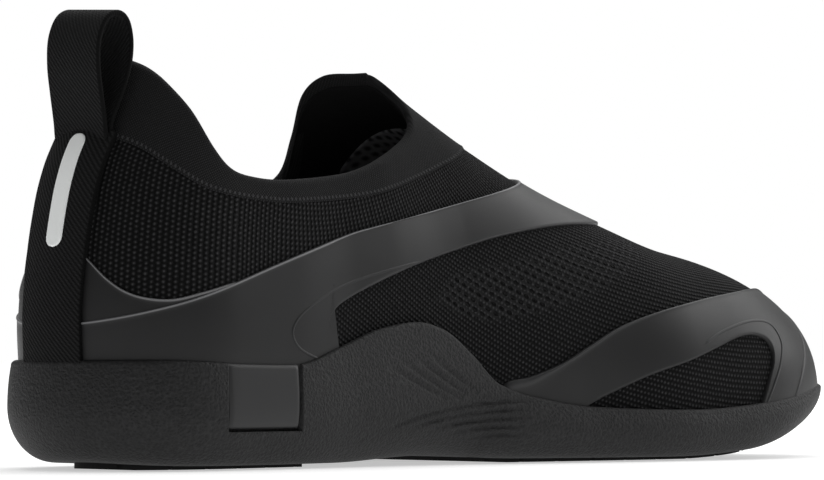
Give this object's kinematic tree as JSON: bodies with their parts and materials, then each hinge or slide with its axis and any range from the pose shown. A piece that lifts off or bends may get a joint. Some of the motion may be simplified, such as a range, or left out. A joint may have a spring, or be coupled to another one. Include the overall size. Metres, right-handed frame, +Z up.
{
  "type": "running shoe",
  "caption": "Left slip-on running shoe with a sock-like knit upper, bonded film bands, a cupped foam sole and a webbing heel loop.",
  "frame": {"origin": "centre of the bounding box's base, on the ground under the middle of the shoe", "axes": "+X toward the toe, +Y toward the outer (lateral) side of this left shoe, +Z up"},
  "size_m": [0.295, 0.1031, 0.1223],
  "materials": {
    "outsole_rubber": "matte moulded rubber with flex grooves",
    "sole_foam": "matte moulded foam with a fine pebble grain",
    "side_plate": "smooth satin plastic",
    "board": "plain fibre board",
    "sock_foam": "soft moulded foam",
    "sock_fabric": "flat jersey",
    "ribbed_knit": "ribbed engineered knit",
    "smooth_knit": "fine smooth knit",
    "stiffener": "thermoformed sheet",
    "collar_foam": "soft open-cell foam",
    "lining": "brushed lining knit",
    "label": "blank satin transfer label",
    "film": "satin bonded film with thick bevelled edges",
    "webbing": "twill-woven tape",
    "strip": "pale reflective transfer"
  },
  "bodies": {
    "shoe": {"outsole_heel": "outsole_rubber", "outsole_forefoot": "outsole_rubber", "midsole": "sole_foam", "sidewall_plate": "side_plate", "strobel_board": "board", "sockliner_foam": "sock_foam", "sockliner_cover": "sock_fabric", "knit_upper": "ribbed_knit", "collar_band": "smooth_knit", "heel_counter": "stiffener", "toe_puff": "stiffener", "collar_foam": "collar_foam", "collar_lining": "lining", "tongue_lining": "lining", "size_label": "label", "heel_film": "film", "band_film": "film", "toe_film_medial": "film", "toe_film_lateral": "film", "toe_bumper": "film", "heel_tape": "webbing", "reflective_strip": "strip"},
    "loop": {"pull_loop": "webbing"}
  },
  "joints": [
    {"name": "pull_loop_fold", "type": "hinge", "parent": "shoe", "child": "loop", "pos_m": [-0.1342, -0.0007, 0.0906], "axis": [0, -1, 0], "range_deg": [0, 90]}
  ]
}
